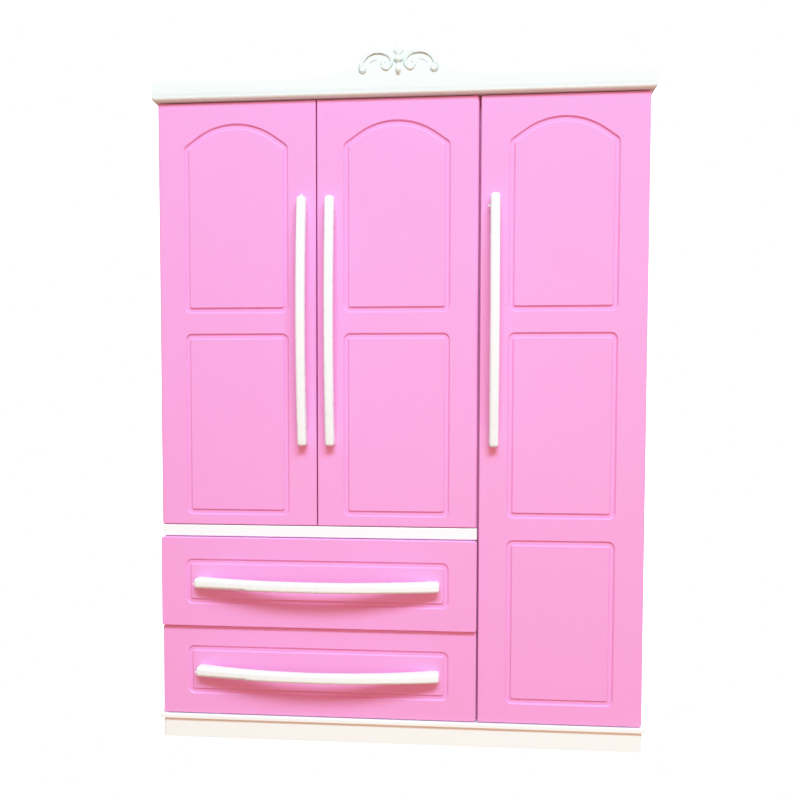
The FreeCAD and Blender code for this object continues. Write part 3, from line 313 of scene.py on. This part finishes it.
# ------------------------------------------------------------ floor and light
bm = bmesh.new()
bmesh.ops.create_grid(bm, x_segments=8, y_segments=8, size=6.0)
me = bpy.data.meshes.new("studio_floor")
bm.to_mesh(me)
bm.free()
floor = bpy.data.objects.new("studio_floor", me)
bpy.context.scene.collection.objects.link(floor)
fm = Nodes("floor_card")
ft = fm.new("ShaderNodeTexCoord")
fn = fm.noise(ft.outputs["Object"], 3.0, 2.0)
fm.link(fm.mix(fn, (0.86, 0.86, 0.85, 1), (0.88, 0.88, 0.87, 1)), fm.bsdf.inputs["Base Color"])
fm.bsdf.inputs["Roughness"].default_value = 0.9
fm.bsdf.inputs["Specular IOR Level"].default_value = 0.1
fm.bsdf.inputs["Emission Color"].default_value = (1.0, 1.0, 1.0, 1)
# the card glows, a painted light that lights nothing, and it glows less near the object, a painted shade on the floor
# around its foot; further out it runs to plain white
fl = fm.new("ShaderNodeVectorMath", operation="LENGTH")
fm.link(ft.outputs["Object"], fl.inputs[0])
fm.link(fm.math("MULTIPLY", fm.ramp(fl.outputs["Value"], [(0.10, 0.26), (0.34, 1.0)]), 2.6),
        fm.bsdf.inputs["Emission Strength"])
me.materials.append(fm.mat)
# the glowing card lights nothing, so that undersides keep their shade
floor.visible_diffuse = False
floor.visible_glossy = False

world = bpy.data.worlds.new("studio")
bpy.context.scene.world = world
world.use_nodes = True
wt = world.node_tree
bg = wt.nodes["Background"]
bg.inputs["Color"].default_value = (1.0, 0.59, 0.38, 1)
bg.inputs["Strength"].default_value = 0.45
seen = wt.nodes.new("ShaderNodeBackground")
seen.inputs["Color"].default_value = (3.0, 3.0, 3.0, 1)
path = wt.nodes.new("ShaderNodeLightPath")
pick = wt.nodes.new("ShaderNodeMixShader")
wt.links.new(path.outputs["Is Camera Ray"], pick.inputs[0])
wt.links.new(bg.outputs[0], pick.inputs[1])
wt.links.new(seen.outputs[0], pick.inputs[2])
wt.links.new(pick.outputs[0], wt.nodes["World Output"].inputs["Surface"])


def area(name, at, to, size, power, colour, roll=0.0):
    li = bpy.data.lights.new(name, "AREA")
    li.shape = "RECTANGLE"
    li.size, li.size_y = size
    li.energy = power
    li.color = colour
    ob = bpy.data.objects.new(name, li)
    ob.location = at
    turn = (Vector(to) - Vector(at)).to_track_quat("-Z", "Y").to_matrix().to_4x4()
    ob.rotation_euler = (turn @ Matrix.Rotation(math.radians(roll), 4, "Z")).to_euler()
    bpy.context.scene.collection.objects.link(ob)
    return ob


# key from above right, warm bounce from low in front, and soft boxes for the
# two sides and the back, which the front view doesn't see
area("key", (0.24, -1.14, 1.42), (0.0, 0.0, 0.20), (1.30, 0.42), 35.0, (0.65, 0.975, 1.10))
area("bounce", (0.30, -1.22, 0.24), (0.0, 0.0, 0.16), (1.2, 0.5), 3.4, (1.0, 0.42, 0.28))
low = area("floor_bounce", (0.12, -0.42, 0.02), (0.0, 0.0, 0.16), (0.60, 0.22), 0.16, (1.0, 0.62, 0.46))
low.visible_camera = False
area("side_box_left", (-1.15, 0.35, 0.55), (0.0, 0.02, 0.15), (0.9, 0.9), 6.0, (1.0, 1.0, 1.0))
area("side_box_right", (1.15, 0.35, 0.55), (0.0, 0.02, 0.15), (0.9, 0.9), 6.0, (1.0, 1.0, 1.0))
area("back_box", (0.25, 1.3, 0.75), (0.0, 0.04, 0.15), (0.9, 0.9), 9.0, (1.0, 1.0, 1.0))

# ----------------------------------------------------------------- camera
cam = bpy.data.cameras.new("camera")
cam.lens = 40.5
cam.sensor_width = 36.0
cam.sensor_fit = "HORIZONTAL"
cam.shift_x = 0.01505
cam.shift_y = 0.05323
cam.clip_start = 0.01
cam.clip_end = 50.0
co = bpy.data.objects.new("camera", cam)
co.matrix_world = Matrix(((0.996037, -0.006145, 0.088728, 0.0319908),
                          (0.088929, 0.052769, -0.994639, -0.4457338),
                          (0.001430, 0.998588, 0.053106, 0.1627259),
                          (0, 0, 0, 1)))
bpy.context.scene.collection.objects.link(co)
bpy.context.scene.camera = co

vs = bpy.context.scene.view_settings
vs.view_transform = "Standard"
vs.look = "None"
vs.exposure = 0.0
vs.gamma = 1.0
# a soft shoulder, so that near-white plastic keeps its shading
vs.use_curve_mapping = True
cm = vs.curve_mapping
cm.use_clip = False
cm.extend = "HORIZONTAL"
for c in list(cm.curves)[:3]:
    c.points[0].location = (0.0, 0.0)
    c.points[1].location = (0.80, 0.80)
    for at in ((0.93, 0.925), (1.03, 0.972), (1.15, 0.99), (1.5, 0.998), (2.2, 1.0)):
        c.points.new(*at)
cm.update()
